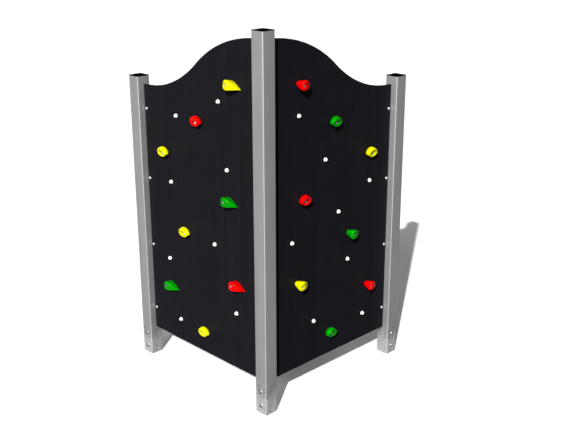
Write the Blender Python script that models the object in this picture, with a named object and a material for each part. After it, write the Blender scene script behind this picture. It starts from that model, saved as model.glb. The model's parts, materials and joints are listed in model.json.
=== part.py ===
"""A corner climbing wall: three square posts in an L, two panels with a wave-shaped top edge between them,
and eight bolted-on climbing holds on each side of each panel. Metres, +Z up. The front post stands at the
corner nearest -Y, and the origin is on the ground in the middle of the three posts' bounding box.
"""

from math import asin, atan, cos, pi, radians, sin, sqrt, tau

import bmesh
import bpy
from mathutils import Matrix, Vector

# Driving dimensions
POST_SPACING = 1.252  # between the axes of neighbouring posts
POST_SIZE = 0.100
POST_CORNER_RADIUS = 0.006
POST_WALL = 0.004
FRONT_POST_TOP = 2.518
SIDE_POST_TOP = 2.100
SHOE_HEIGHT = 0.215
PANEL_BOTTOM = 0.2155
PANEL_THICKNESS = 0.019
PANEL_BELOW_POST_TOP = 0.055
CURVE_START = 0.057  # distances from the front post's axis along the panel
CURVE_INFLECTION = 0.637
CURVE_END = 1.183
GAP = 0.0003  # between pieces that touch
EDGE_GAP = 0.001  # between a panel's edge and the post beside it

CORNER_STEPS = 4
ROUND_STEPS = 16
HOLE_STEPS = 12
DOME_STEPS = 3
CURVE_STEPS = 18  # straight pieces in each of the two arcs

# Spigot, cap and foot bolts
SPIGOT_CLEARANCE = 0.0006
SPIGOT_WALL = 0.005
SPIGOT_INTO_POST = 0.200
SPIGOT_BASE = 0.008
CAP_THICKNESS = 0.005
CAP_EDGE = 0.001
CAP_PLUG_DEPTH = 0.025
CAP_PLUG_WALL = 0.003
FOOT_BOLT_HEIGHTS = {"lower": 0.058, "upper": 0.160}
FOOT_BOLT_RADIUS = 0.006
FOOT_BOLT_HEAD_RADIUS = 0.014
FOOT_BOLT_HEAD_HEIGHT = 0.008
FOOT_BOLT_END = 0.012  # thread showing inside the spigot

# Rails: an angle section down each upright edge of a panel, with studs through the panel
RAIL_LEG = 0.040
RAIL_DEPTH = 0.030
RAIL_WALL = 0.004
RAIL_END_MARGIN = 0.030
RAIL_STUD_FROM_POST = 0.020
STUD_HEIGHTS = (0.378, 0.878, 1.378, 1.878)
STUD_RADIUS = 0.005
STUD_HOLE_RADIUS = 0.0055
DOME_NUT_RADIUS = 0.009
DOME_NUT_HEIGHT = 0.008

# Holds: distance from the front post's axis along the panel, height, shape and colour
HOLD_BOLT_HOLE_RADIUS = 0.0055
HOLD_HEAD_RECESS_RADIUS = 0.013
FRONT_HOLDS = {
    "left": (
        (0.288, 2.163, "horn", "yellow"),
        (0.619, 1.872, "knob", "red"),
        (0.985, 1.601, "knob", "yellow"),
        (0.337, 1.400, "horn", "green"),
        (0.783, 1.067, "knob", "yellow"),
        (0.984, 0.625, "horn", "green"),
        (0.279, 0.833, "horn", "red"),
        (0.605, 0.372, "knob", "yellow"),
    ),
    "right": (
        (0.296, 2.159, "horn", "red"),
        (0.619, 1.872, "knob", "green"),
        (0.985, 1.601, "knob", "yellow"),
        (0.337, 1.400, "knob", "red"),
        (0.791, 1.063, "horn", "green"),
        (0.992, 0.621, "horn", "red"),
        (0.287, 0.829, "horn", "yellow"),
        (0.605, 0.372, "knob", "green"),
    ),
}
BACK_HOLDS = {
    "left": (
        (0.417, 2.037, "horn", "green"),
        (0.854, 1.878, "knob", "red"),
        (0.347, 1.603, "knob", "yellow"),
        (0.936, 1.402, "horn", "red"),
        (0.488, 1.060, "knob", "green"),
        (0.987, 0.824, "horn", "yellow"),
        (0.282, 0.621, "horn", "red"),
        (0.889, 0.378, "knob", "green"),
    ),
    "right": (
        (0.299, 1.964, "knob", "yellow"),
        (0.546, 1.636, "horn", "red"),
        (0.996, 1.402, "horn", "green"),
        (0.682, 1.247, "knob", "yellow"),
        (0.239, 1.133, "horn", "green"),
        (0.784, 0.876, "knob", "red"),
        (0.447, 0.512, "horn", "yellow"),
        (0.957, 0.406, "knob", "red"),
    ),
}

# Each hold is a smoothed cage of rings of points, from its flat back outwards and each anticlockwise from the
# right, in millimetres from the bolt's axis. The first number of a ring is how sharp its edges stay.
HOLD_CAGES = {
    "horn": (
        (1.0, (
            (91, -24, 0), (60, 5, 0), (16, 28, 0), (-9, 27, 0),
            (-24, 14, 0), (-10, -12, 0), (14, -28, 0), (58, -28, 0),
        )),
        (0.45, (
            (92, -23, 7), (68, 13, 44), (12, 46, 66), (-8, 40, 59),
            (-28, 20, 50), (-30, -24, 50), (4, -36, 60), (72, -25, 40),
        )),
        (0.0, (
            (64, -8, 42), (48, 7, 50), (10, 28, 64), (-3, 24, 61),
            (-15, 12, 57), (-15, -12, 55), (3, -22, 59), (44, -16, 48),
        )),
        (0.0, (
            (16, -2, 56), (11, 8, 58), (2, 12, 59), (-6, 9, 58),
            (-10, 1, 57), (-7, -8, 56), (1, -12, 57), (9, -9, 57),
        )),
    ),
    "knob": (
        (1.0, (
            (36, 2, 0), (19, 27, 0), (-2, 37, 0), (-24, 27, 0),
            (-36, 2, 0), (-26, -7, 0), (0, -9, 0), (26, -7, 0),
        )),
        (0.2, (
            (58, 2, 16), (28, 40, 20), (-3, 54, 20), (-38, 42, 20),
            (-58, 0, 16), (-38, -8, 18), (0, -10, 22), (38, -7, 16),
        )),
        (0.5, (
            (50, 5, 40), (25, 33, 45), (-2, 44, 49), (-32, 35, 46),
            (-50, 5, 40), (-30, -19, 37), (0, -24, 34), (27, -19, 35),
        )),
        (0.5, (
            (40, 4, 43), (23, 22, 47), (-1, 30, 50), (-26, 23, 48),
            (-40, 4, 43), (-25, -14, 37), (0, -19, 35), (23, -14, 36),
        )),
        (0.0, (
            (28, 1, 37), (18, 11, 41), (0, 15, 42), (-19, 12, 41),
            (-28, 1, 37), (-19, -9, 33), (0, -12, 32), (19, -9, 33),
        )),
    ),
}
SHARP_TIPS = {"horn": (0,), "knob": ()}  # places round the first two rings whose points stay sharp
HOLD_SEATS = {"horn": 0.0490, "knob": 0.0300}  # height of the bolt head's seat over the hold's back
HOLD_SMOOTHING = 1
MILLIMETRE = 0.001

COLOURS = {
    "aluminium": ((0.47, 0.47, 0.48, 1), 0.42, 0.9),
    "galvanised": ((0.55, 0.56, 0.57, 1), 0.5, 0.85),
    "steel": ((0.7, 0.7, 0.7, 1), 0.3, 1.0),
    "black_plastic": ((0.01, 0.01, 0.01, 1), 0.5, 0.0),
    "black_panel": ((0.015, 0.015, 0.018, 1), 0.55, 0.0),
    "yellow": ((1.0, 0.9, 0.0, 1), 0.35, 0.0),
    "red": ((0.9, 0.0, 0.0, 1), 0.35, 0.0),
    "green": ((0.0, 0.32, 0.0, 1), 0.35, 0.0),
}

# Where the posts stand: the front one at the corner, the others 45 degrees back to each side
HALF_DIAGONAL = POST_SPACING / sqrt(2)
POSTS = {
    "front": (Vector((0, -HALF_DIAGONAL / 2, 0)), FRONT_POST_TOP),
    "left": (Vector((-HALF_DIAGONAL, HALF_DIAGONAL / 2, 0)), SIDE_POST_TOP),
    "right": (Vector((HALF_DIAGONAL, HALF_DIAGONAL / 2, 0)), SIDE_POST_TOP),
}
POST_TURN = radians(45)
# Outward directions on the ground: where each post's foot bolts point, and each panel's front
OUTWARD = {
    "left": Vector((-1, -1, 0)).normalized(),
    "right": Vector((1, -1, 0)).normalized(),
}
FOOT_BOLT_SIDE = {"front": "left", "left": "left", "right": "right"}


def clear_scene():
    for obj in list(bpy.data.objects):
        bpy.data.objects.remove(obj)


def make_materials():
    materials = {}
    for name, (colour, roughness, metallic) in COLOURS.items():
        material = bpy.data.materials.new(name)
        material.use_nodes = True
        shader = material.node_tree.nodes["Principled BSDF"]
        shader.inputs["Base Color"].default_value = colour
        shader.inputs["Roughness"].default_value = roughness
        shader.inputs["Metallic"].default_value = metallic
        materials[name] = material
    return materials


def mesh_of(name, build):
    """A new mesh filled in by build(bm), with all faces turned outwards."""
    bm = bmesh.new()
    build(bm)
    bmesh.ops.recalc_face_normals(bm, faces=bm.faces)
    mesh = bpy.data.meshes.new(name)
    bm.to_mesh(mesh)
    bm.free()
    return mesh


def add_object(name, mesh, material, parent=None):
    obj = bpy.data.objects.new(name, mesh)
    bpy.context.collection.objects.link(obj)
    if not mesh.materials:
        mesh.materials.append(None)
    obj.material_slots[0].link = "OBJECT"
    obj.material_slots[0].material = material
    obj.parent = parent
    return obj


def shade_round(mesh, sharp_above=radians(35)):
    mesh.shade_smooth()
    mesh.set_sharp_from_angle(angle=sharp_above)


def bridge(bm, first, second):
    for i in range(len(first)):
        j = (i + 1) % len(first)
        bm.faces.new((first[i], first[j], second[j], second[i]))


def rounded_square(half, radius):
    """Points of a square with rounded corners, anticlockwise."""
    points = []
    inner = half - radius
    for corner in range(4):
        for step in range(CORNER_STEPS + 1):
            angle = (corner + step / CORNER_STEPS) * pi / 2
            centre = Matrix.Rotation(corner * pi / 2, 2) @ Vector((inner, inner))
            points.append(centre + radius * Vector((cos(angle), sin(angle))))
    return points


def square_loft_mesh(name, rings, joined_ends):
    """Rounded squares (half width, corner radius, height) joined in order, either closed by a face at each
    end or with the last joined to the first, as in a tube."""

    def build(bm):
        loops = [
            [bm.verts.new((*point, height)) for point in rounded_square(half, radius)]
            for half, radius, height in rings
        ]
        for first, second in zip(loops, loops[1:]):
            bridge(bm, first, second)
        if joined_ends:
            bridge(bm, loops[-1], loops[0])
        else:
            bm.faces.new(loops[0])
            bm.faces.new(loops[-1])

    mesh = mesh_of(name, build)
    shade_round(mesh)
    return mesh


def square_tube_mesh(name, half, corner_radius, wall, bottom, top):
    inner_radius = max(corner_radius - wall, 0.001)
    rings = (
        (half, corner_radius, bottom),
        (half, corner_radius, top),
        (half - wall, inner_radius, top),
        (half - wall, inner_radius, bottom),
    )
    return square_loft_mesh(name, rings, joined_ends=True)


def turned_mesh(name, profile, steps=ROUND_STEPS):
    """A solid turned about Z from (radius, height) points that start and end on the axis."""

    def build(bm):
        loops = []
        for radius, height in profile:
            if radius == 0:
                loops.append([bm.verts.new((0, 0, height))])
                continue
            angles = [tau * step / steps for step in range(steps)]
            loops.append([bm.verts.new((radius * cos(a), radius * sin(a), height)) for a in angles])
        for first, second in zip(loops, loops[1:]):
            if len(first) == 1 or len(second) == 1:
                tip, ring = (first[0], second) if len(first) == 1 else (second[0], first)
                for i in range(steps):
                    bm.faces.new((tip, ring[i], ring[(i + 1) % steps]))
            else:
                bridge(bm, first, second)

    mesh = mesh_of(name, build)
    shade_round(mesh)
    return mesh


def dome_profile(radius, height):
    """From the middle of a dome's top out to its rim, as part of a sphere standing on a short edge."""
    edge = height / 4
    rise = height - edge
    sphere = (radius**2 + rise**2) / (2 * rise)
    widest = asin(radius / sphere)
    points = [(0, height)]
    for step in range(1, DOME_STEPS + 1):
        angle = widest * step / DOME_STEPS
        points.append((sphere * sin(angle), height - sphere * (1 - cos(angle))))
    return points + [(radius, 0)]


def panel_top_edge():
    """(distance along, height) of the wave from the front post's side down to the other, as two arcs."""
    high = FRONT_POST_TOP - PANEL_BELOW_POST_TOP
    low = SIDE_POST_TOP - PANEL_BELOW_POST_TOP
    steepest = 2 * atan((high - low) / (CURVE_END - CURVE_START))
    upper_radius = (CURVE_INFLECTION - CURVE_START) / sin(steepest)
    lower_radius = (CURVE_END - CURVE_INFLECTION) / sin(steepest)
    points = []
    for step in range(CURVE_STEPS + 1):
        angle = steepest * step / CURVE_STEPS
        points.append((CURVE_START + upper_radius * sin(angle), high - upper_radius * (1 - cos(angle))))
    for step in range(1, CURVE_STEPS + 1):
        angle = steepest * (1 - step / CURVE_STEPS)
        points.append((CURVE_END - lower_radius * sin(angle), low + lower_radius * (1 - cos(angle))))
    return points


def panel_outline():
    start = POST_SIZE / 2 + EDGE_GAP
    end = POST_SPACING - POST_SIZE / 2 - EDGE_GAP
    top = panel_top_edge()
    return [(start, PANEL_BOTTOM), (end, PANEL_BOTTOM), (end, top[-1][1]), *reversed(top), (start, top[0][1])]


def hole_places(side):
    """(distance along, height, radius) of every hole through a panel."""
    post_face = POST_SIZE / 2
    for height in STUD_HEIGHTS:
        yield post_face + RAIL_STUD_FROM_POST, height, STUD_HOLE_RADIUS
        yield POST_SPACING - post_face - RAIL_STUD_FROM_POST, height, STUD_HOLE_RADIUS
    for along, height, *_ in FRONT_HOLDS[side] + BACK_HOLDS[side]:
        yield along, height, HOLD_BOLT_HOLE_RADIUS


def add_cutter(name, build, parent):
    cutter = bpy.data.objects.new(name, mesh_of(name, build))
    bpy.context.collection.objects.link(cutter)
    cutter.parent = parent
    cutter.hide_render = True
    cutter.display_type = "WIRE"
    return cutter


def add_boolean(obj, other, operation):
    modifier = obj.modifiers.new(operation.title(), "BOOLEAN")
    modifier.operation = operation
    modifier.solver = "EXACT"
    modifier.object = other


def add_panel(side, face, across, materials):
    """A panel in its front face's own axes: its front lies in the plane z = 0, and across is +1 or -1 as the
    distance from the front post grows to the right or to the left."""

    def build(bm):
        outline = [bm.verts.new((across * along, height, 0)) for along, height in panel_outline()]
        front = bm.faces.new(outline)
        back = bmesh.ops.extrude_face_region(bm, geom=[front])
        moved = [item for item in back["geom"] if isinstance(item, bmesh.types.BMVert)]
        bmesh.ops.translate(bm, verts=moved, vec=(0, 0, -PANEL_THICKNESS))

    def build_holes(bm):
        for along, height, radius in hole_places(side):
            place = Matrix.Translation((across * along, height, -PANEL_THICKNESS / 2))
            bmesh.ops.create_cone(
                bm,
                cap_ends=True,
                segments=HOLE_STEPS,
                radius1=radius,
                radius2=radius,
                depth=3 * PANEL_THICKNESS,
                matrix=place,
            )

    panel = add_object(f"panel_{side}", mesh_of(f"panel_{side}", build), materials["black_panel"], face)
    cutter = add_cutter(f"panel_{side}_holes", build_holes, face)
    add_boolean(panel, cutter, "DIFFERENCE")


def rail_outline():
    """The angle section beside a post at x = 0: one leg on the post, the other behind the panel."""
    near = GAP
    front = -PANEL_THICKNESS - GAP
    back = front - RAIL_DEPTH
    return (
        (near, front),
        (near + RAIL_LEG, front),
        (near + RAIL_LEG, front - RAIL_WALL),
        (near + RAIL_WALL, front - RAIL_WALL),
        (near + RAIL_WALL, back),
        (near, back),
    )


def add_rail(name, face, x_post_face, x_direction, top, materials):
    """A rail with its studs and dome nuts, which stand through the panel."""
    bottom = PANEL_BOTTOM + RAIL_END_MARGIN

    def build(bm):
        section = [
            bm.verts.new((x_post_face + x_direction * x, bottom, z)) for x, z in rail_outline()
        ]
        end = bm.faces.new(section)
        moved = bmesh.ops.extrude_face_region(bm, geom=[end])["geom"]
        verts = [item for item in moved if isinstance(item, bmesh.types.BMVert)]
        bmesh.ops.translate(bm, verts=verts, vec=(0, top - bottom, 0))

    rail = add_object(name, mesh_of(name, build), materials["aluminium"], face)
    stud_end = -PANEL_THICKNESS - RAIL_WALL / 2
    dome = dome_profile(DOME_NUT_RADIUS, DOME_NUT_HEIGHT)
    dome = [(radius, height + GAP) for radius, height in dome]
    profile = [*dome, (STUD_RADIUS, GAP), (STUD_RADIUS, stud_end), (0, stud_end)]
    stud_mesh = turned_mesh(f"{name}_stud", profile, HOLE_STEPS)
    for number, height in enumerate(STUD_HEIGHTS, 1):
        stud = bpy.data.objects.new(f"{name}_stud_{number}", stud_mesh)
        bpy.context.collection.objects.link(stud)
        stud.parent = face
        stud.location = (x_post_face + x_direction * RAIL_STUD_FROM_POST, height, 0)
        stud.hide_render = True
        stud.display_type = "WIRE"
        add_boolean(rail, stud, "UNION")


def hold_mesh(shape):
    """A hold smoothed from its cage, with its bolt hole and the recess for the bolt's head."""

    def build_cage(bm):
        crease = bm.edges.layers.float.new("crease_edge")
        corner = bm.verts.layers.float.new("crease_vert")
        loops = []
        for _, points in HOLD_CAGES[shape]:
            loops.append([bm.verts.new(Vector(point) * MILLIMETRE) for point in points])
        bm.faces.new(loops[0])
        for first, second in zip(loops, loops[1:]):
            bridge(bm, first, second)
        bm.faces.new(loops[-1])
        for (sharpness, _), loop in zip(HOLD_CAGES[shape], loops):
            for i, vertex in enumerate(loop):
                bm.edges.get((vertex, loop[(i + 1) % len(loop)]))[crease] = sharpness
        for loop in loops[:2]:
            for i in SHARP_TIPS[shape]:
                loop[i][corner] = 1

    beyond = 0.12
    seat = HOLD_SEATS[shape]
    profile = (
        (0, -beyond),
        (HOLD_BOLT_HOLE_RADIUS, -beyond),
        (HOLD_BOLT_HOLE_RADIUS, seat),
        (HOLD_HEAD_RECESS_RADIUS, seat),
        (HOLD_HEAD_RECESS_RADIUS, beyond),
        (0, beyond),
    )
    body = bpy.data.objects.new(f"{shape}_body", mesh_of(f"{shape}_body", build_cage))
    drill = bpy.data.objects.new(f"{shape}_drill", turned_mesh(f"{shape}_drill", profile, HOLE_STEPS))
    for obj in (body, drill):
        bpy.context.collection.objects.link(obj)
    smooth = body.modifiers.new("Smooth", "SUBSURF")
    smooth.levels = HOLD_SMOOTHING
    smooth.render_levels = HOLD_SMOOTHING
    add_boolean(body, drill, "DIFFERENCE")
    graph = bpy.context.evaluated_depsgraph_get()
    mesh = bpy.data.meshes.new_from_object(body.evaluated_get(graph))
    mesh.name = shape
    shade_round(mesh)
    for obj in (body, drill):
        bpy.data.objects.remove(obj)
    return mesh


def add_holds(side, face, across, where, holds, hold_meshes, materials):
    for number, (along, height, shape, colour) in enumerate(holds, 1):
        name = f"hold_{side}_{where}_{number}"
        hold = add_object(name, hold_meshes[shape], materials[colour], face)
        hold.location = (across * along, height, GAP)


def add_post(name, foot, top, materials):
    """A post with its cap, and the shoe and spigot that it stands on."""
    half = POST_SIZE / 2
    post = square_tube_mesh(f"post_{name}", half, POST_CORNER_RADIUS, POST_WALL, SHOE_HEIGHT + GAP, top)
    add_object(f"post_{name}", post, materials["aluminium"], foot)

    shoe = square_tube_mesh(f"shoe_{name}", half, POST_CORNER_RADIUS, POST_WALL, 0, SHOE_HEIGHT)
    shoe = add_object(f"shoe_{name}", shoe, materials["galvanised"], foot)

    outer = half - POST_WALL - SPIGOT_CLEARANCE
    inner = outer - SPIGOT_WALL
    outer_radius = 0.004
    inner_radius = 0.002
    spigot_top = SHOE_HEIGHT + SPIGOT_INTO_POST
    spigot_rings = (
        (outer, outer_radius, 0),
        (outer, outer_radius, spigot_top),
        (inner, inner_radius, spigot_top),
        (inner, inner_radius, SPIGOT_BASE),
    )
    spigot = square_loft_mesh(f"spigot_{name}", spigot_rings, joined_ends=False)
    spigot = add_object(f"spigot_{name}", spigot, materials["galvanised"], foot)

    plug = half - POST_WALL - SPIGOT_CLEARANCE
    cap_rings = (
        (plug - CAP_PLUG_WALL, inner_radius, GAP),
        (plug - CAP_PLUG_WALL, inner_radius, -CAP_PLUG_DEPTH),
        (plug, outer_radius, -CAP_PLUG_DEPTH),
        (plug, outer_radius, GAP),
        (half, POST_CORNER_RADIUS, GAP),
        (half, POST_CORNER_RADIUS, CAP_THICKNESS - CAP_EDGE),
        (half - CAP_EDGE, POST_CORNER_RADIUS - CAP_EDGE, CAP_THICKNESS),
    )
    cap = square_loft_mesh(f"cap_{name}", cap_rings, joined_ends=False)
    cap = add_object(f"cap_{name}", cap, materials["black_plastic"], foot)
    cap.location.z = top
    return shoe, spigot


def add_foot_bolts(name, foot, shoe, spigot, materials):
    """Two dome-headed bolts through the shoe and the spigot, and the holes that they pass through."""
    half = POST_SIZE / 2
    direction = foot.matrix_world.to_3x3().inverted() @ OUTWARD[FOOT_BOLT_SIDE[name]]
    turn = direction.to_track_quat("Z", "Y")
    shank_end = -(POST_WALL + SPIGOT_CLEARANCE + SPIGOT_WALL + FOOT_BOLT_END)
    dome = dome_profile(FOOT_BOLT_HEAD_RADIUS, FOOT_BOLT_HEAD_HEIGHT)
    bolt_mesh = turned_mesh(
        "foot_bolt", [*dome, (FOOT_BOLT_RADIUS, 0), (FOOT_BOLT_RADIUS, shank_end), (0, shank_end)]
    )

    def build_holes(bm):
        for height in FOOT_BOLT_HEIGHTS.values():
            centre = direction * half + Vector((0, 0, height))
            bmesh.ops.create_cone(
                bm,
                cap_ends=True,
                segments=ROUND_STEPS,
                radius1=FOOT_BOLT_RADIUS + GAP,
                radius2=FOOT_BOLT_RADIUS + GAP,
                depth=half,
                matrix=Matrix.Translation(centre) @ turn.to_matrix().to_4x4(),
            )

    cutter = add_cutter(f"foot_{name}_holes", build_holes, foot)
    add_boolean(shoe, cutter, "DIFFERENCE")
    add_boolean(spigot, cutter, "DIFFERENCE")
    for level, height in FOOT_BOLT_HEIGHTS.items():
        bolt = add_object(f"foot_bolt_{name}_{level}", bolt_mesh, materials["steel"], foot)
        bolt.location = direction * (half + GAP) + Vector((0, 0, height))
        bolt.rotation_euler = turn.to_euler()


def add_face(name, outward, offset):
    """An empty whose X, Y and Z point right, up and outwards for someone facing that side of a panel. Its
    origin is on the ground at the front post's axis, moved outwards by offset."""
    up = Vector((0, 0, 1))
    right = up.cross(outward)
    place = Matrix.Translation(POSTS["front"][0] + outward * offset)
    turn = Matrix((right, up, outward)).transposed().to_4x4()
    face = bpy.data.objects.new(name, None)
    bpy.context.collection.objects.link(face)
    face.matrix_world = place @ turn
    return face


def main():
    clear_scene()
    materials = make_materials()
    hold_meshes = {shape: hold_mesh(shape) for shape in HOLD_CAGES}

    for name, (place, top) in POSTS.items():
        foot = bpy.data.objects.new(f"foot_{name}", None)
        bpy.context.collection.objects.link(foot)
        foot.matrix_world = Matrix.Translation(place) @ Matrix.Rotation(POST_TURN, 4, "Z")
        shoe, spigot = add_post(name, foot, top, materials)
        add_foot_bolts(name, foot, shoe, spigot, materials)

    post_face = POST_SIZE / 2
    for side, across in (("left", -1), ("right", 1)):
        front = add_face(f"front_of_{side}_panel", OUTWARD[side], 0)
        back = add_face(f"back_of_{side}_panel", -OUTWARD[side], PANEL_THICKNESS)
        add_panel(side, front, across, materials)
        tall_top = FRONT_POST_TOP - PANEL_BELOW_POST_TOP - RAIL_END_MARGIN
        low_top = SIDE_POST_TOP - PANEL_BELOW_POST_TOP - RAIL_END_MARGIN
        far = POST_SPACING - post_face
        add_rail(f"rail_{side}_tall", front, across * post_face, across, tall_top, materials)
        add_rail(f"rail_{side}_low", front, across * far, -across, low_top, materials)
        add_holds(side, front, across, "front", FRONT_HOLDS[side], hold_meshes, materials)
        add_holds(side, back, -across, "back", BACK_HOLDS[side], hold_meshes, materials)


main()
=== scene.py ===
"""The looks of the corner climbing wall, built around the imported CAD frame. Metres, +Z up; the front post
stands nearest the camera, which looks along +Y.
"""

import json
from math import asin, cos, pi, radians, sin, sqrt, tau

import bmesh
import bpy
from mathutils import Euler, Matrix, Vector


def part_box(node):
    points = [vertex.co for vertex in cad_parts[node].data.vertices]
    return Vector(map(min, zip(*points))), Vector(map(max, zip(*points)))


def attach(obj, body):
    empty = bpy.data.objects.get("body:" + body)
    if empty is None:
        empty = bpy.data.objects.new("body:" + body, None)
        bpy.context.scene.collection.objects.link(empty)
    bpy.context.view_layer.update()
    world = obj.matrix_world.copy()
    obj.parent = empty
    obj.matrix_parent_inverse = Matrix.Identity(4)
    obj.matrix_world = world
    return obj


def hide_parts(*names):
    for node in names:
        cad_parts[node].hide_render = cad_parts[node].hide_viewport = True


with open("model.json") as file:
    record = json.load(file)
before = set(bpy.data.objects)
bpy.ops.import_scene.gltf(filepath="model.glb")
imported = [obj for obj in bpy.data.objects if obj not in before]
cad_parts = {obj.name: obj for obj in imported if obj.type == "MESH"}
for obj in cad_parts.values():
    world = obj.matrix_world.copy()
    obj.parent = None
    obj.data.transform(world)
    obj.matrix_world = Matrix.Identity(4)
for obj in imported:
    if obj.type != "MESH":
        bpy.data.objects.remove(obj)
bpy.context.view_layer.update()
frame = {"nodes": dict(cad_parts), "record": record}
RECORD = frame["record"]

# The frame's own places and sizes
POST_BOXES = {name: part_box(f"post_{name}") for name in ("front", "left", "right")}
POST_AXES = {name: (low + high) / 2 for name, (low, high) in POST_BOXES.items()}
PANEL_THICKNESS = 0.019
PANEL_EDGE = 0.0015
PANEL_WELD = 0.00001
POST_HALF = 0.050
POST_CORNER = 0.006
POST_WALL = 0.004
PLUG_HALF = 0.0454
RAIL_LEG = 0.040
RAIL_DEPTH = 0.030
RAIL_WALL = 0.004
RAIL_CORNER_RADII = (0.001, 0.0008, 0.0014, 0.004, 0.0014, 0.0008)
GAP = 0.0003  # between pieces that touch
SHOE_HEIGHT = 0.215
UP = Vector((0, 0, 1))
OUTWARD = {"left": Vector((-1, -1, 0)).normalized(), "right": Vector((1, -1, 0)).normalized()}
AWAY = {"left": -OUTWARD["right"], "right": -OUTWARD["left"]}  # from the front post along each panel
FRONT_AXIS = Vector((POST_AXES["front"].x, POST_AXES["front"].y, 0))
FOOT_BOLT_SIDE = {"front": "left", "left": "left", "right": "right"}

# Fasteners: sizes of their heads, and their places on the panels, rails and shoes
HOLD_SCREW = {
    "radius": 0.0088,
    "height": 0.0060,
    "flange_radius": 0.0112,
    "socket_radius": 0.0032,
    "socket_depth": 0.0035,
}
FOOT_BOLT = {
    "radius": 0.0120,
    "height": 0.0080,
    "flange_radius": 0.0140,
    "socket_radius": 0.0052,
    "socket_depth": 0.0050,
}
EDGE_NUT = {"radius": 0.0088, "height": 0.0083, "washer_radius": 0.0108}
RAIL_NUT = {"across_flats": 0.013, "height": 0.0085, "washer_radius": 0.0095}
RAIL_SCREW = {"across_flats": 0.008, "height": 0.0055, "washer_radius": 0.0075}
FLANGE_THICKNESS = 0.0014
WHITE_CAP_RADIUS = 0.0145
WHITE_CAP_HEIGHT = 0.0173
EDGE_BOLT_HEIGHTS = (0.378, 0.878, 1.378, 1.878)
EDGE_BOLT_FROM_POST = 0.020
FOOT_BOLT_HEIGHTS = (0.058, 0.160)
FOOT_BOLT_LIFT = 0.0002
RAIL_SCREW_HEIGHTS = (0.310, 0.628, 1.128, 1.628, 1.950, 2.300)
ROUND_STEPS = 40
CORNER_STEPS = 8

# Painted floor light: the zinc's brightness at each share of a shoe's height, lighter low down for light
# thrown up by the pale floor
FLOOR_LIGHT_TONES = ((0.0, 0.92), (0.33, 0.82), (0.56, 0.70), (0.79, 0.58), (1.0, 0.50))

# Hold shapes, in millimetres from the bolt's axis: rings of points outwards from the panel, each with how
# sharp its ring of edges stays
HOLD_CAGES = {
    "horn": (
        (1.0, (
            (88, -25, 0), (58, 1, 0), (16, 26, 0), (-9, 27, 0),
            (-24, 14, 0), (-11, -15, 0), (12, -31, 0), (58, -28, 0),
        )),
        (0.25, (
            (89, -24, 7), (66, 10, 44), (12, 43, 66), (-7, 38, 59),
            (-27, 18, 50), (-33, -28, 50), (4, -36, 60), (72, -22, 40),
        )),
        (0.0, (
            (64, -8, 42), (48, 7, 50), (10, 28, 64), (-3, 24, 61),
            (-15, 12, 57), (-15, -12, 55), (3, -22, 59), (44, -16, 48),
        )),
        (0.0, (
            (16, -2, 56), (11, 8, 58), (2, 12, 59), (-6, 9, 58),
            (-10, 1, 57), (-7, -8, 56), (1, -12, 57), (9, -9, 57),
        )),
    ),
    "knob": (
        (1.0, (
            (36, 2, 0), (19, 27, 0), (-2, 37, 0), (-24, 27, 0),
            (-36, 2, 0), (-26, -7, 0), (0, -9, 0), (26, -7, 0),
        )),
        (0.2, (
            (58, 2, 16), (28, 40, 20), (-3, 54, 20), (-38, 42, 20),
            (-58, 0, 16), (-38, -8, 18), (0, -10, 22), (38, -7, 16),
        )),
        (0.5, (
            (50, 5, 40), (25, 33, 45), (-2, 44, 49), (-32, 35, 46),
            (-50, 5, 40), (-30, -19, 37), (0, -24, 34), (27, -19, 35),
        )),
        (0.5, (
            (40, 4, 43), (23, 22, 47), (-1, 30, 50), (-26, 23, 48),
            (-40, 4, 43), (-25, -14, 37), (0, -19, 35), (23, -14, 36),
        )),
        (0.0, (
            (27, 1, 32), (17, 10, 36), (0, 14, 37), (-18, 11, 36),
            (-27, 1, 32), (-18, -9, 31), (0, -12, 31), (18, -9, 31),
        )),
    ),
}
SHARP_TIPS = {"horn": (0,), "knob": ()}  # places round the first two rings whose points stay sharp
HOLD_SEATS = {"horn": 0.0490, "knob": 0.0300}  # height of the seat for the bolt's head
HOLD_SMOOTHING = 3
HOLD_HOLE_RADIUS = 0.0055
HOLD_RECESS_RADIUS = 0.0142
DRILL_REACH = 0.12  # past both ends of any hold
DRILL_STEPS = 32
MILLIMETRE = 0.001

# Holds on each face: distance from the front post's axis, height and shape, numbered as the CAD nodes are
HOLD_PLACES = {
    ("left", "front"): (
        (0.288, 2.163, "horn"), (0.619, 1.872, "knob"), (0.985, 1.601, "knob"), (0.337, 1.400, "horn"),
        (0.783, 1.067, "knob"), (0.984, 0.625, "horn"), (0.279, 0.833, "horn"), (0.605, 0.372, "knob"),
    ),
    ("right", "front"): (
        (0.296, 2.159, "horn"), (0.619, 1.872, "knob"), (0.985, 1.601, "knob"), (0.337, 1.400, "knob"),
        (0.791, 1.063, "horn"), (0.992, 0.621, "horn"), (0.287, 0.829, "horn"), (0.605, 0.372, "knob"),
    ),
    ("left", "back"): (
        (0.417, 2.037, "horn"), (0.854, 1.878, "knob"), (0.347, 1.603, "knob"), (0.936, 1.402, "horn"),
        (0.488, 1.060, "knob"), (0.987, 0.824, "horn"), (0.282, 0.621, "horn"), (0.889, 0.378, "knob"),
    ),
    ("right", "back"): (
        (0.299, 1.964, "knob"), (0.546, 1.636, "horn"), (0.996, 1.402, "horn"), (0.682, 1.247, "knob"),
        (0.239, 1.133, "horn"), (0.784, 0.876, "knob"), (0.447, 0.512, "horn"), (0.957, 0.406, "knob"),
    ),
}

# Camera
SENSOR_WIDTH = 36.0
CAMERA_LENS = 56.281
CAMERA_REACH = 200
CAMERA_FROM_FRONT_POST = Vector((0.1731, -5.3326, 3.1948))
CAMERA_PITCH_DOWN = 0.3299
CAMERA_TURN = 0.003

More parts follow.
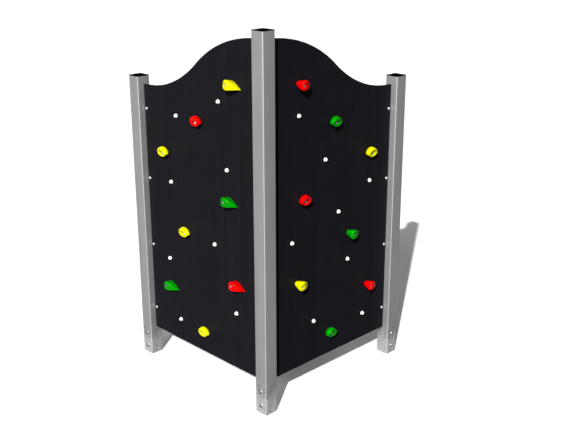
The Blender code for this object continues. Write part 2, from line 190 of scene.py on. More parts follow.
# Lights: name, the way the light travels, strength and angle
LIGHTS = (
    ("sun", Vector((0.2727, 1.394, -1.0)), 5.1, radians(0.8)),
    ("fill", Vector((0.474, 0.708, -0.502)), 0.58, radians(14)),
    ("back", Vector((-0.25, -0.95, -0.2)), 1.0, radians(30)),
)
WHITE = (1, 1, 1, 1)
SKY_STRENGTH = 0.18
OVERHEAD_STRENGTH = 0.8  # of the bright overhead softbox seen only in gloss
OVERHEAD_RISE = (0.4, 0.8)  # upward share of a direction where the softbox starts, and where it is full
SKY_LEAN = Vector((-0.087, -0.109, 0))  # the way the sky gets brighter, and by how much
FLOOR_SIZE = 60
FLOOR_DROP = 0.0005


def slot_of(node):
    """The material slot that the record gives a CAD node."""
    for part in RECORD["subparts"]:
        if part["node"] == node:
            return part["material_slot"]
    return None


# Materials


def new_material(name, colour, roughness, metallic=0.0, specular=0.5):
    """A plain material, with its node tree and shader for the detail that follows."""
    material = bpy.data.materials.new(name)
    material.use_nodes = True
    shader = material.node_tree.nodes["Principled BSDF"]
    shader.inputs["Base Color"].default_value = (*colour, 1)
    shader.inputs["Roughness"].default_value = roughness
    shader.inputs["Metallic"].default_value = metallic
    shader.inputs["Specular IOR Level"].default_value = specular
    return material, material.node_tree, shader


def add_node(tree, kind, inputs=None, **settings):
    """A node with some of its inputs and settings filled in."""
    node = tree.nodes.new(kind)
    for key, value in settings.items():
        setattr(node, key, value)
    for key, value in (inputs or {}).items():
        node.inputs[key].default_value = value
    return node


def noise(tree, scale, stretch=(1, 1, 1), detail=4.0, roughness=0.5):
    """Noise in the object's own metres, stretched by dividing its frequency along each axis."""
    place = add_node(tree, "ShaderNodeTexCoord")
    mapping = add_node(tree, "ShaderNodeMapping", {"Scale": tuple(1 / s for s in stretch)})
    texture = add_node(tree, "ShaderNodeTexNoise", {"Scale": scale, "Detail": detail, "Roughness": roughness})
    tree.links.new(place.outputs["Object"], mapping.inputs["Vector"])
    tree.links.new(mapping.outputs["Vector"], texture.inputs["Vector"])
    return texture.outputs["Fac"]


def ramp(tree, source, stops):
    """A colour ramp from (position, (r, g, b)) stops."""
    node = add_node(tree, "ShaderNodeValToRGB")
    tree.links.new(source, node.inputs["Fac"])
    elements = node.color_ramp.elements
    while len(elements) < len(stops):
        elements.new(0.5)
    for element, (position, colour) in zip(elements, stops):
        element.position = position
        element.color = (*colour, 1)
    return node.outputs["Color"]


def spread(tree, source, low, high):
    """A value from 0 to 1 carried to the range from low to high."""
    node = add_node(tree, "ShaderNodeMapRange", {"To Min": low, "To Max": high})
    tree.links.new(source, node.inputs["Value"])
    return node.outputs["Result"]


def add_bump(tree, shader, heights, distance, strength=1.0):
    """Bump from one height, or from several added together."""
    total = heights[0]
    for height in heights[1:]:
        add = add_node(tree, "ShaderNodeMath", operation="ADD")
        tree.links.new(total, add.inputs[0])
        tree.links.new(height, add.inputs[1])
        total = add.outputs[0]
    bump = add_node(tree, "ShaderNodeBump", {"Distance": distance, "Strength": strength})
    tree.links.new(total, bump.inputs["Height"])
    tree.links.new(bump.outputs["Normal"], shader.inputs["Normal"])


def shade(colour, factor):
    """The colour made lighter or darker."""
    return tuple(channel * factor for channel in colour)


def painted_corner_highlight(tree):
    """1 along the rounded upright corners of a post or shoe, where a highlight is painted, broken up a
    little, and 0 on its flat faces.
    """
    place = add_node(tree, "ShaderNodeTexCoord")
    parts = add_node(tree, "ShaderNodeSeparateXYZ")
    tree.links.new(place.outputs["Object"], parts.inputs["Vector"])
    nearest = add_node(tree, "ShaderNodeMath", operation="MINIMUM")
    for axis in (0, 1):
        size = add_node(tree, "ShaderNodeMath", operation="ABSOLUTE")
        tree.links.new(parts.outputs[axis], size.inputs[0])
        tree.links.new(size.outputs[0], nearest.inputs[axis])
    flat_ends = POST_HALF - POST_CORNER * 0.95
    corner_starts = POST_HALF - POST_CORNER * 0.4
    edge = add_node(tree, "ShaderNodeMapRange", {"From Min": flat_ends, "From Max": corner_starts})
    tree.links.new(nearest.outputs[0], edge.inputs["Value"])
    # Painted highlight: the corner share, broken up a little by noise
    worn = add_node(tree, "ShaderNodeMath", operation="MULTIPLY")
    tree.links.new(edge.outputs["Result"], worn.inputs[0])
    tree.links.new(spread(tree, noise(tree, 30, detail=5), 0.7, 1.15), worn.inputs[1])
    return worn.outputs[0]


def mixed_colour(tree, factor, first, second):
    """Colour socket first where factor is 0, and the constant colour second where it is 1."""
    mix = add_node(tree, "ShaderNodeMix", data_type="RGBA")
    tree.links.new(factor, mix.inputs[0])
    tree.links.new(first, mix.inputs[6])
    mix.inputs[7].default_value = (*second, 1)
    return mix.outputs[2]


def aluminium_material(name, colour, highlight_colour=None):
    """Extruded aluminium: fine die lines along its length, over faint cloudiness. With a highlight colour,
    the upright corners get a painted highlight."""
    material, tree, shader = new_material(name, colour, 0.68, metallic=1.0)
    lines = noise(tree, 260, stretch=(1, 1, 400), detail=3)
    clouds = noise(tree, 5, detail=3)
    both = add_node(tree, "ShaderNodeMix", {"Factor": 0.35}, data_type="FLOAT")
    tree.links.new(lines, both.inputs["A"])
    tree.links.new(clouds, both.inputs["B"])
    mixed = both.outputs["Result"]
    surface = ramp(tree, mixed, ((0.3, shade(colour, 0.94)), (0.7, shade(colour, 1.05))))
    # Painted highlight: the upright corners take the lighter highlight colour, for the light they catch
    if highlight_colour:
        surface = mixed_colour(tree, painted_corner_highlight(tree), surface, highlight_colour)
    tree.links.new(surface, shader.inputs["Base Color"])
    tree.links.new(spread(tree, mixed, 0.62, 0.74), shader.inputs["Roughness"])
    add_bump(tree, shader, [lines], 0.00006)
    return material


def galvanised_material():
    """Hot-dip zinc: faint spangle and small runs, with painted floor light making it brighter towards the
    ground and a painted highlight along its corners.
    """
    material, tree, shader = new_material("galvanised_steel", (0.6, 0.6, 0.61), 0.6, metallic=0.9)
    place = add_node(tree, "ShaderNodeTexCoord")
    spangle = add_node(tree, "ShaderNodeTexVoronoi", {"Scale": 85.0, "Randomness": 1.0})
    tree.links.new(place.outputs["Object"], spangle.inputs["Vector"])
    grey = add_node(tree, "ShaderNodeSeparateColor")
    tree.links.new(spangle.outputs["Color"], grey.inputs["Color"])
    runs = noise(tree, 22, stretch=(1, 1, 3), detail=5)
    both = add_node(tree, "ShaderNodeMix", {"Factor": 0.55}, data_type="FLOAT")
    tree.links.new(grey.outputs["Red"], both.inputs["A"])
    tree.links.new(runs, both.inputs["B"])
    mixed = both.outputs["Result"]
    # Painted floor light: the zinc gets lighter towards the ground, for light thrown up by the pale floor
    height = add_node(tree, "ShaderNodeSeparateXYZ")
    tree.links.new(place.outputs["Object"], height.inputs["Vector"])
    level = add_node(tree, "ShaderNodeMapRange", {"From Max": SHOE_HEIGHT})
    tree.links.new(height.outputs["Z"], level.inputs["Value"])
    tone = ramp(tree, level.outputs["Result"], [(at, (grey_level,) * 3) for at, grey_level in FLOOR_LIGHT_TONES])
    patches = ramp(tree, mixed, ((0.25, (0.84,) * 3), (0.75, (1.16,) * 3)))
    product = add_node(tree, "ShaderNodeMix", {"Factor": 1.0}, data_type="RGBA", blend_type="MULTIPLY")
    tree.links.new(tone, product.inputs[6])
    tree.links.new(patches, product.inputs[7])
    # Painted highlight: the rounded corners of the shoe take a lighter grey
    surface = mixed_colour(tree, painted_corner_highlight(tree), product.outputs[2], (0.78, 0.78, 0.78))
    tree.links.new(surface, shader.inputs["Base Color"])
    tree.links.new(spread(tree, mixed, 0.5, 0.66), shader.inputs["Roughness"])
    add_bump(tree, shader, [runs], 0.0004)
    return material


def panel_material():
    """Black plastic sheet with a fine orange-peel face, faint upright drawing lines and light scuffs."""
    colour = (0.0085, 0.0081, 0.0107)
    material, tree, shader = new_material("panel_sheet", colour, 0.55, specular=0.04)
    peel = noise(tree, 420, detail=2)
    lines = noise(tree, 90, stretch=(1, 1, 200), detail=4)
    scuffs = noise(tree, 9, stretch=(1, 1, 1.5), detail=8, roughness=0.65)
    both = add_node(tree, "ShaderNodeMix", {"Factor": 0.4}, data_type="FLOAT")
    tree.links.new(lines, both.inputs["A"])
    tree.links.new(scuffs, both.inputs["B"])
    mixed = both.outputs["Result"]
    surface = ramp(tree, mixed, ((0.3, shade(colour, 0.8)), (0.7, shade(colour, 1.25))))
    tree.links.new(surface, shader.inputs["Base Color"])
    tree.links.new(spread(tree, scuffs, 0.42, 0.6), shader.inputs["Roughness"])
    add_bump(tree, shader, [peel], 0.00012)
    return material


def plastic_material(name, colour, roughness, specular=0.5, grain=500, grain_height=0.00006, variation=0.08):
    """Moulded plastic: a slight grain and a slight change of tone."""
    material, tree, shader = new_material(name, colour, roughness, specular=specular)
    fine = noise(tree, grain, detail=2)
    broad = noise(tree, 18, detail=4)
    stops = ((0.3, shade(colour, 1 - variation)), (0.7, shade(colour, 1 + variation / 2)))
    tree.links.new(ramp(tree, broad, stops), shader.inputs["Base Color"])
    tree.links.new(spread(tree, broad, roughness - 0.06, roughness + 0.08), shader.inputs["Roughness"])
    add_bump(tree, shader, [fine], grain_height)
    return material


def hold_material(name, colour):
    """Cast resin with sand in its skin: a gritty surface under a slight gloss, worn smoother in places."""
    material, tree, shader = new_material(name, colour, 0.36, specular=0.6)
    strongest = max(colour)
    tint = [0.12 + 0.88 * channel / strongest for channel in colour]
    shader.inputs["Specular Tint"].default_value = (*tint, 1)
    grit = noise(tree, 900, detail=3, roughness=0.7)
    lumps = noise(tree, 70, detail=4)
    wear = noise(tree, 30, detail=5)
    surface = ramp(tree, lumps, ((0.25, shade(colour, 0.86)), (0.75, shade(colour, 1.0))))
    tree.links.new(surface, shader.inputs["Base Color"])
    tree.links.new(spread(tree, wear, 0.18, 0.36), shader.inputs["Roughness"])
    add_bump(tree, shader, [grit, lumps], 0.0004, 0.6)
    return material


def steel_material(name, colour, roughness=0.4):
    """Plated steel with fine marks."""
    material, tree, shader = new_material(name, colour, roughness, metallic=1.0)
    marks = noise(tree, 350, detail=4)
    surface = ramp(tree, marks, ((0.3, shade(colour, 0.88)), (0.7, shade(colour, 1.08))))
    tree.links.new(surface, shader.inputs["Base Color"])
    tree.links.new(spread(tree, marks, roughness - 0.06, roughness + 0.1), shader.inputs["Roughness"])
    add_bump(tree, shader, [marks], 0.00004)
    return material


def make_materials():
    """One material for each slot, and three more steels for the fasteners that look different."""
    return {
        # The posts' last colour is the painted highlight along their corners
        "post_aluminium": aluminium_material("post_aluminium", (0.522, 0.522, 0.527), (0.68, 0.68, 0.68)),
        "rail_aluminium": aluminium_material("rail_aluminium", (0.56, 0.56, 0.57)),
        "foot_galvanised": galvanised_material(),
        "cap_black": plastic_material("cap_black", (0.001, 0.001, 0.001), 0.85, specular=0.0),
        "panel_black": panel_material(),
        "hold_yellow": hold_material("hold_yellow", (0.80, 0.78, 0.0)),
        "hold_red": hold_material("hold_red", (0.8, 0.0, 0.0)),
        "hold_green": hold_material("hold_green", (0.0, 0.28, 0.0)),
        "fastener_steel": steel_material("fastener_steel", (0.84, 0.84, 0.84)),
        "foot_steel": steel_material("foot_steel", (0.62, 0.62, 0.62)),
        # A darker copy of the foot steel, for painted shade on the foot bolts in the left faces
        "painted_shade_steel": steel_material("painted_shade_steel", (0.42, 0.42, 0.42), 0.24),
        "hold_steel": steel_material("hold_steel", (0.66, 0.66, 0.66), 0.34),
        "cap_white": plastic_material("cap_white", (0.93, 0.93, 0.93), 0.3, variation=0.03),
    }


MATERIALS = make_materials()


# Meshes


def mesh_of(name, build, sharp_above=radians(40)):
    """The smooth-shaded mesh that build makes, with its edges sharp above an angle."""
    bm = bmesh.new()
    build(bm)
    bmesh.ops.recalc_face_normals(bm, faces=bm.faces)
    mesh = bpy.data.meshes.new(name)
    bm.to_mesh(mesh)
    bm.free()
    mesh.shade_smooth()
    mesh.set_sharp_from_angle(angle=sharp_above)
    return mesh


def bridge(bm, first, second):
    """Faces between two rings with the same number of points."""
    for i in range(len(first)):
        j = (i + 1) % len(first)
        bm.faces.new((first[i], first[j], second[j], second[i]))


def turned_mesh(name, profile, steps=ROUND_STEPS):
    """A solid turned about Z from (radius, height) points that start and end on the axis."""

    def build(bm):
        loops = []
        for radius, height in profile:
            if radius == 0:
                loops.append([bm.verts.new((0, 0, height))])
                continue
            angles = [tau * step / steps for step in range(steps)]
            loops.append([bm.verts.new((radius * cos(a), radius * sin(a), height)) for a in angles])
        for first, second in zip(loops, loops[1:]):
            if len(first) == 1 or len(second) == 1:
                tip, ring = (first[0], second) if len(first) == 1 else (second[0], first)
                for i in range(steps):
                    bm.faces.new((tip, ring[i], ring[(i + 1) % steps]))
            else:
                bridge(bm, first, second)

    return mesh_of(name, build)


def add_piece(name, mesh, slot, matrix, look=None):
    """A piece on the fixed body. Its material is kept on the piece, because pieces share meshes."""
    piece = bpy.data.objects.new(name, mesh)
    bpy.context.collection.objects.link(piece)
    if not mesh.materials:
        mesh.materials.append(None)
    piece.material_slots[0].link = "OBJECT"
    piece.material_slots[0].material = MATERIALS[look or slot]
    piece.matrix_world = matrix
    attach(piece, "root")
    return piece


def apply_modifiers(obj, name):
    """A new mesh with the object's modifiers worked out."""
    graph = bpy.context.evaluated_depsgraph_get()
    mesh = bpy.data.meshes.new_from_object(obj.evaluated_get(graph))
    mesh.name = name
    return mesh


def face_matrix(side, where, along, height):
    """The place on a panel's front or back whose X points right, Y up and Z outwards."""
    outward = OUTWARD[side] if where == "front" else -OUTWARD[side]
    offset = 0 if where == "front" else PANEL_THICKNESS
    origin = FRONT_AXIS + AWAY[side] * along + outward * offset + UP * height
    right = UP.cross(outward)
    return Matrix.Translation(origin) @ Matrix((right, UP, outward)).transposed().to_4x4()


def hold_mesh(shape):
    """The hold smoothed from its cage, with its bolt hole and the recess for the bolt's head."""

    def build_cage(bm):
        crease = bm.edges.layers.float.new("crease_edge")
        corner = bm.verts.layers.float.new("crease_vert")
        loops = []
        for sharpness, points in HOLD_CAGES[shape]:
            loop = [bm.verts.new(Vector(point) * MILLIMETRE) for point in points]
            loops.append((sharpness, loop))
        for (_, first), (_, second) in zip(loops, loops[1:]):
            bridge(bm, first, second)
        bm.faces.new(loops[0][1])
        bm.faces.new(loops[-1][1])
        for sharpness, loop in loops:
            for i, vertex in enumerate(loop):
                bm.edges.get((vertex, loop[(i + 1) % len(loop)]))[crease] = sharpness
        for _, loop in loops[:2]:
            for i in SHARP_TIPS[shape]:
                loop[i][corner] = 1

    seat = HOLD_SEATS[shape]
    profile = (
        (0, -DRILL_REACH),
        (HOLD_HOLE_RADIUS, -DRILL_REACH),
        (HOLD_HOLE_RADIUS, seat),
        (HOLD_RECESS_RADIUS, seat),
        (HOLD_RECESS_RADIUS, DRILL_REACH),
        (0, DRILL_REACH),
    )
    body = bpy.data.objects.new(f"{shape}_cage", mesh_of(f"{shape}_cage", build_cage))
    drill = bpy.data.objects.new(f"{shape}_drill", turned_mesh(f"{shape}_drill", profile, DRILL_STEPS))
    for obj in (body, drill):
        bpy.context.collection.objects.link(obj)
    smooth = body.modifiers.new("Smooth", "SUBSURF")
    smooth.levels = HOLD_SMOOTHING
    smooth.render_levels = HOLD_SMOOTHING
    cut = body.modifiers.new("Drill", "BOOLEAN")
    cut.operation = "DIFFERENCE"
    cut.solver = "EXACT"
    cut.object = drill
    mesh = apply_modifiers(body, f"{shape}_hold")
    mesh.shade_smooth()
    mesh.set_sharp_from_angle(angle=radians(40))
    for obj in (body, drill):
        bpy.data.objects.remove(obj)
    return mesh


def button_head_mesh(name, radius, height, flange_radius, socket_radius, socket_depth):
    """A domed screw head on a flange, with a six-sided socket, its underside at the origin."""
    steps = 36  # a multiple of six, so that the socket's corners fall on points
    dome_steps = 8
    bevel = 0.0005
    rim = height * 0.3
    dome_height = height - rim
    socket_edge = asin(socket_radius * 1.15 / radius)  # the dome's angle from its top where the socket starts

    def ring(bm, reach, z):
        turns = [tau * step / steps for step in range(steps)]
        return [bm.verts.new((reach(turn) * cos(turn), reach(turn) * sin(turn), z)) for turn in turns]

    def hexagon(turn):
        return socket_radius * cos(pi / 6) / cos(turn % (pi / 3) - pi / 6)

    def build(bm):
        loops = [ring(bm, lambda turn: flange_radius, 0)]
        loops.append(ring(bm, lambda turn: flange_radius, FLANGE_THICKNESS * 0.6))
        loops.append(ring(bm, lambda turn: flange_radius - bevel, FLANGE_THICKNESS))
        loops.append(ring(bm, lambda turn: radius, FLANGE_THICKNESS))
        for step in range(dome_steps + 1):
            angle = pi / 2 + (socket_edge - pi / 2) * step / dome_steps
            loops.append(ring(bm, lambda turn: radius * sin(angle), rim + dome_height * cos(angle)))
        top = rim + dome_height * cos(socket_edge)
        loops.append(ring(bm, hexagon, top))
        loops.append(ring(bm, hexagon, top - socket_depth))
        for one, other in zip(loops, loops[1:]):
            bridge(bm, one, other)
        bm.faces.new(loops[0])
        bm.faces.new(loops[-1])

    return mesh_of(name, build, radians(30))


def rounded_square(half, radius):
    """Points of a square with rounded corners, anticlockwise."""
    points = []
    for corner in range(4):
        for step in range(CORNER_STEPS + 1):
            angle = (corner + step / CORNER_STEPS) * pi / 2
            centre = Matrix.Rotation(corner * pi / 2, 2) @ Vector((half - radius, half - radius))
            points.append(centre + radius * Vector((cos(angle), sin(angle))))
    return points


def square_loft_mesh(name, rings, joined_ends):
    """Rounded squares (half width, corner radius, height) joined in order, either closed by a face at each
    end or with the last joined to the first, as in a tube."""

    def build(bm):
        loops = [
            [bm.verts.new((*point, height)) for point in rounded_square(half, radius)]
            for half, radius, height in rings
        ]
        for first, second in zip(loops, loops[1:]):
            bridge(bm, first, second)
        if joined_ends:
            bridge(bm, loops[-1], loops[0])
        else:
            bm.faces.new(loops[0])
            bm.faces.new(loops[-1])

    return mesh_of(name, build, radians(30))


def square_tube_mesh(name, bottom, top):
    """A post's or a shoe's tube, its ends broken by a small chamfer."""
    chamfer = 0.0005
    inner = POST_HALF - POST_WALL
    inner_radius = POST_CORNER - POST_WALL
    rings = (
        (POST_HALF - chamfer, POST_CORNER - chamfer, bottom),
        (POST_HALF, POST_CORNER, bottom + chamfer),
        (POST_HALF, POST_CORNER, top - chamfer),
        (POST_HALF - chamfer, POST_CORNER - chamfer, top),
        (inner, inner_radius, top),
        (inner, inner_radius, bottom),
    )
    return square_loft_mesh(name, rings, joined_ends=True)


def post_cap_mesh(height):
    """A post's plastic cap: a slightly domed lid with a rounded rim, over a hollow plug."""
    plug_wall = 0.003
    plug_corner = 0.004
    plug_inner_corner = 0.002
    plug_depth = 0.025
    bevel = 0.0003
    rim = 0.001
    rim_steps = 4
    lid = height - 0.0004
    rings = [
        (PLUG_HALF - plug_wall, plug_inner_corner, GAP),
        (PLUG_HALF - plug_wall, plug_inner_corner, -plug_depth),
        (PLUG_HALF, plug_corner, -plug_depth),
        (PLUG_HALF, plug_corner, GAP),
        (POST_HALF - bevel, POST_CORNER - bevel, GAP),
        (POST_HALF, POST_CORNER, GAP + bevel),
    ]
    for step in range(rim_steps + 1):
        angle = pi / 2 * step / rim_steps
        inset = rim * (1 - cos(angle))
        rings.append((POST_HALF - inset, POST_CORNER - inset, lid - rim + rim * sin(angle)))
    rings.append((POST_HALF - 0.015, plug_corner, height))
    return square_loft_mesh("post_cap", rings, joined_ends=False)


def filleted(points, radii, steps=4):
    """The outline with each corner rounded to its own radius."""
    rounded_points = []
    for i, (point, radius) in enumerate(zip(points, radii)):
        point = Vector(point)
        before = (Vector(points[i - 1]) - point).normalized()
        after = (Vector(points[(i + 1) % len(points)]) - point).normalized()
        start = point + before * radius
        end = point + after * radius
        for step in range(steps + 1):
            share = step / steps
            one = start.lerp(point, share)
            two = point.lerp(end, share)
            rounded_points.append(one.lerp(two, share))
    return rounded_points


def extruded_mesh(name, outline, bottom, top):
    """An outline in X and Y carried from one height to another."""

    def build(bm):
        loops = [[bm.verts.new((*point, height)) for point in outline] for height in (bottom, top)]
        bridge(bm, *loops)
        bm.faces.new(loops[0])
        bm.faces.new(loops[1])

    return mesh_of(name, build, radians(30))


def white_cap_mesh():
    """A moulded bolt cover: a dome on a thin flange."""
    flange = 0.0022
    bevel = 0.0006
    dome = WHITE_CAP_RADIUS * 0.93
    steps = 10
    profile = [(0, WHITE_CAP_HEIGHT)]
    for step in range(1, steps + 1):
        angle = pi / 2 * step / steps
        profile.append((dome * sin(angle), flange + (WHITE_CAP_HEIGHT - flange) * cos(angle)))
    profile += [
        (WHITE_CAP_RADIUS - bevel, flange),
        (WHITE_CAP_RADIUS, flange - bevel),
        (WHITE_CAP_RADIUS, 0),
        (0, 0),
    ]
    return turned_mesh("white_cap", profile)


def dome_nut_mesh(name, radius, height, washer_radius):
    """A dome on a short drum, over a washer."""
    washer = 0.0014
    bevel = 0.0003
    drum = washer + height * 0.3
    steps = 8
    profile = [(0, height)]
    for step in range(1, steps + 1):
        angle = pi / 2 * step / steps
        profile.append((radius * sin(angle), drum + (height - drum) * cos(angle)))
    profile += [
        (radius, washer),
        (washer_radius - bevel, washer),
        (washer_radius, washer - bevel),
        (washer_radius, 0),
        (0, 0),
    ]
    return turned_mesh(name, profile)


def hex_head_mesh(name, across_flats, height, washer_radius):
    """A hex head with a chamfered top on a washer."""
    washer = 0.0012
    corner = across_flats / sqrt(3)
    levels = ((corner, washer), (corner, height * 0.85), (corner * 0.88, height))
    turns = [pi / 3 * k for k in range(6)]

    def build(bm):
        bmesh.ops.create_cone(
            bm,
            cap_ends=True,
            segments=ROUND_STEPS,
            radius1=washer_radius,
            radius2=washer_radius,
            depth=washer,
            matrix=Matrix.Translation((0, 0, washer / 2)),
        )
        rings = []
        for reach, level in levels:
            rings.append([bm.verts.new((reach * cos(turn), reach * sin(turn), level)) for turn in turns])
        for first, second in zip(rings, rings[1:]):
            bridge(bm, first, second)
        bm.faces.new(rings[0])
        bm.faces.new(rings[-1])

    return mesh_of(name, build, radians(25))


# Pieces


def finish_cad_nodes():
    """The CAD nodes get their detailed materials, and the panels slightly rounded edges."""
    for name, node in frame["nodes"].items():
        for material_slot in node.material_slots:
            material_slot.material = MATERIALS[slot_of(name)]
    for side in OUTWARD:
        panel = frame["nodes"][f"panel_{side}"]
        weld = panel.modifiers.new("Weld", "WELD")
        weld.merge_threshold = PANEL_WELD
        soften = panel.modifiers.new("Soften", "BEVEL")
        soften.width = PANEL_EDGE
        soften.segments = 3
        soften.limit_method = "ANGLE"
        soften.angle_limit = radians(50)
        soften.harden_normals = True


def add_posts():
    """The posts, their shoes and their caps, turned so that each post's faces are square to the panels."""
    for name, axis in POST_AXES.items():
        low, high = POST_BOXES[name]
        foot = Matrix.Translation((axis.x, axis.y, 0)) @ Matrix.Rotation(radians(45), 4, "Z")
        tube = square_tube_mesh(f"post_{name}", low.z, high.z)
        post = add_piece(f"fine_post_{name}", tube, "post_aluminium", foot)
        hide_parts(f"post_{name}")
        short_tube = square_tube_mesh("shoe", 0, SHOE_HEIGHT)
        shoe = add_piece(f"fine_shoe_{name}", short_tube, "foot_galvanised", foot)
        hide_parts(f"shoe_{name}")
        _, cap_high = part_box(f"cap_{name}")
        lid = foot @ Matrix.Translation((0, 0, high.z))
        cap = add_piece(f"fine_cap_{name}", post_cap_mesh(cap_high.z - high.z), "cap_black", lid)
        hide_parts(f"cap_{name}")


def post_spacing(side):
    """From the front post's axis to the axis of the post at the panel's other end."""
    return (POST_AXES[side] - POST_AXES["front"]).to_2d().length


def upright_matrix(side):
    """A place at the front post's foot whose X runs away along the panel and Z up. Its Y points outwards on
    the left and inwards on the right."""
    away = AWAY[side]
    return Matrix.Translation(FRONT_AXIS) @ Matrix((away, UP.cross(away), UP)).transposed().to_4x4()


def add_rails():
    """Angle rails with rounded corners, the nuts behind them and the screws that hold them to the posts."""
    nut = hex_head_mesh("rail_nut", **RAIL_NUT)
    screw = hex_head_mesh("rail_screw", **RAIL_SCREW)
    front = PANEL_THICKNESS + GAP
    section = (
        (GAP, front),
        (GAP + RAIL_LEG, front),
        (GAP + RAIL_LEG, front + RAIL_WALL),
        (GAP + RAIL_WALL, front + RAIL_WALL),
        (GAP + RAIL_WALL, front + RAIL_DEPTH),
        (GAP, front + RAIL_DEPTH),
    )
    for side, inwards in (("left", -1), ("right", 1)):
        place = upright_matrix(side)
        for end, post_face, away in (("tall", POST_HALF, 1), ("low", post_spacing(side) - POST_HALF, -1)):
            node = f"rail_{side}_{end}"
            low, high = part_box(node)
            outline = [(post_face + away * x, inwards * y) for x, y in filleted(section, RAIL_CORNER_RADII)]
            mesh = extruded_mesh(node, outline, low.z, high.z)
            rail = add_piece(f"fine_{node}", mesh, "rail_aluminium", place)
            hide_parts(node)
            along = post_face + away * EDGE_BOLT_FROM_POST
            for number, height in enumerate(EDGE_BOLT_HEIGHTS, 1):
                behind = face_matrix(side, "back", along, height)
                seat = behind @ Matrix.Translation((0, 0, GAP + RAIL_WALL))
                add_piece(f"{node}_nut_{number}", nut, "fastener_steel", seat)
            turn = Matrix.Rotation(away * pi / 2, 4, "Y")
            depth = inwards * (front + (RAIL_WALL + RAIL_DEPTH) / 2)
            for number, height in enumerate(RAIL_SCREW_HEIGHTS, 1):
                if height < high.z:
                    spot = Matrix.Translation((post_face + away * (GAP + RAIL_WALL), depth, height))
                    add_piece(f"{node}_screw_{number}", screw, "fastener_steel", place @ spot @ turn)


def add_holds():
    """Each hold with its bolt, and the white cap on the panel's other face over the bolt's end."""
    meshes = {shape: hold_mesh(shape) for shape in HOLD_CAGES}
    screw = button_head_mesh("hold_screw", **HOLD_SCREW)
    cap = white_cap_mesh()
    for (side, where), places in HOLD_PLACES.items():
        other = "back" if where == "front" else "front"
        for number, (along, height, shape) in enumerate(places, 1):
            node = f"hold_{side}_{where}_{number}"
            base = face_matrix(side, where, along, height)
            lifted = base @ Matrix.Translation((0, 0, GAP))
            hold = add_piece(f"fine_{node}", meshes[shape], slot_of(node), lifted)
            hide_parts(node)
            seat = base @ Matrix.Translation((0, 0, HOLD_SEATS[shape]))
            add_piece(f"{node}_bolt", screw, "fastener_steel", seat, "hold_steel")
            behind = face_matrix(side, other, along, height)
            add_piece(f"{node}_white_cap", cap, "cap_white", behind)


def add_edge_bolts():
    """The dome nuts down both upright edges of each panel's front."""
    mesh = dome_nut_mesh("edge_nut", **EDGE_NUT)
    near = POST_HALF + EDGE_BOLT_FROM_POST
    for side in OUTWARD:
        for end, along in (("tall", near), ("low", post_spacing(side) - near)):
            for number, height in enumerate(EDGE_BOLT_HEIGHTS, 1):
                place = face_matrix(side, "front", along, height)
                add_piece(f"edge_nut_{side}_{end}_{number}", mesh, "fastener_steel", place)


def add_foot_bolts():
    """Two bolts in one face of each shoe. Those on the left faces are darkened with painted shade, the others
    bright.
    """
    mesh = button_head_mesh("foot_head", **FOOT_BOLT)
    for post, side in FOOT_BOLT_SIDE.items():
        outward = OUTWARD[side]
        axis = Vector((POST_AXES[post].x, POST_AXES[post].y, 0))
        turn = Matrix((UP.cross(outward), UP, outward)).transposed().to_4x4()
        for level, height in zip(("lower", "upper"), FOOT_BOLT_HEIGHTS):
            centre = axis + outward * (POST_HALF + FOOT_BOLT_LIFT) + UP * height
            place = Matrix.Translation(centre) @ turn
            # Painted shade: the foot bolts in the left faces take the darker copy of the steel
            look = "painted_shade_steel" if side == "left" else "foot_steel"
            piece = add_piece(f"fine_foot_bolt_{post}_{level}", mesh, "fastener_steel", place, look)
            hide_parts(f"foot_bolt_{post}_{level}")


def add_floor():
    """A pale floor that takes the shadow but lights nothing."""
    mesh = mesh_of("floor", lambda bm: bmesh.ops.create_grid(bm, size=FLOOR_SIZE))
    floor = bpy.data.objects.new("floor", mesh)
    bpy.context.collection.objects.link(floor)
    floor.location.z = -FLOOR_DROP
    floor.visible_diffuse = False
    floor.visible_glossy = False
    material, _, _ = new_material("floor", (0.95, 0.95, 0.95), 0.9, specular=0.0)
    mesh.materials.append(material)


def add_lights():
    """The three lights, each shining from far away along its travel."""
    for name, travel, strength, angle in LIGHTS:
        light = bpy.data.objects.new(name, bpy.data.lights.new(name, "SUN"))
        bpy.context.collection.objects.link(light)
        light.data.energy = strength
        light.data.angle = angle
        light.rotation_euler = travel.to_track_quat("-Z", "Y").to_euler()


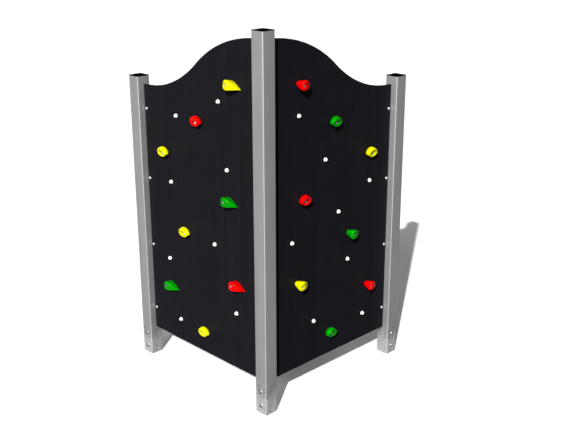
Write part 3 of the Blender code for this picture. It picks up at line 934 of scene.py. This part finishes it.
def add_world():
    """White behind the object, a dim sky that leans one way, and a softbox overhead that only gloss sees."""
    world = bpy.data.worlds.new("studio")
    bpy.context.scene.world = world
    world.use_nodes = True
    tree = world.node_tree
    path = add_node(tree, "ShaderNodeLightPath")
    direction = add_node(tree, "ShaderNodeTexCoord").outputs["Generated"]

    leaning = add_node(tree, "ShaderNodeVectorMath", operation="DOT_PRODUCT")
    leaning.inputs[1].default_value = SKY_LEAN
    tree.links.new(direction, leaning.inputs[0])
    level = add_node(tree, "ShaderNodeMath", operation="ADD")
    level.inputs[1].default_value = SKY_STRENGTH
    tree.links.new(leaning.outputs["Value"], level.inputs[0])
    sky = tree.nodes["Background"]
    sky.inputs["Color"].default_value = WHITE
    tree.links.new(level.outputs[0], sky.inputs["Strength"])

    parts = add_node(tree, "ShaderNodeSeparateXYZ")
    tree.links.new(direction, parts.inputs["Vector"])
    start, full = OVERHEAD_RISE
    rise = add_node(tree, "ShaderNodeMapRange", {"From Min": start, "From Max": full})
    rise.inputs["To Max"].default_value = OVERHEAD_STRENGTH
    tree.links.new(parts.outputs["Z"], rise.inputs["Value"])
    glossy_only = add_node(tree, "ShaderNodeMath", operation="MULTIPLY")
    tree.links.new(rise.outputs["Result"], glossy_only.inputs[0])
    tree.links.new(path.outputs["Is Glossy Ray"], glossy_only.inputs[1])
    softbox = add_node(tree, "ShaderNodeBackground", {"Color": WHITE})
    tree.links.new(glossy_only.outputs[0], softbox.inputs["Strength"])

    lit = add_node(tree, "ShaderNodeAddShader")
    tree.links.new(sky.outputs["Background"], lit.inputs[0])
    tree.links.new(softbox.outputs["Background"], lit.inputs[1])
    seen = add_node(tree, "ShaderNodeBackground", {"Color": WHITE, "Strength": 1.0})
    mix = add_node(tree, "ShaderNodeMixShader")
    tree.links.new(path.outputs["Is Camera Ray"], mix.inputs["Fac"])
    tree.links.new(lit.outputs["Shader"], mix.inputs[1])
    tree.links.new(seen.outputs["Background"], mix.inputs[2])
    tree.links.new(mix.outputs["Shader"], tree.nodes["World Output"].inputs["Surface"])


def add_camera():
    """The camera that sees the front of the wall, placed from the front post's axis."""
    camera = bpy.data.objects.new("camera", bpy.data.cameras.new("camera"))
    bpy.context.collection.objects.link(camera)
    camera.location = FRONT_AXIS + CAMERA_FROM_FRONT_POST
    camera.rotation_euler = Euler((pi / 2 - CAMERA_PITCH_DOWN, 0, CAMERA_TURN))
    camera.data.sensor_width = SENSOR_WIDTH
    camera.data.lens = CAMERA_LENS
    camera.data.clip_end = CAMERA_REACH
    bpy.context.scene.camera = camera


add_camera()
finish_cad_nodes()
add_holds()
add_posts()
add_rails()
add_edge_bolts()
add_foot_bolts()
add_floor()
add_lights()
add_world()
bpy.context.scene.view_settings.view_transform = "Standard"
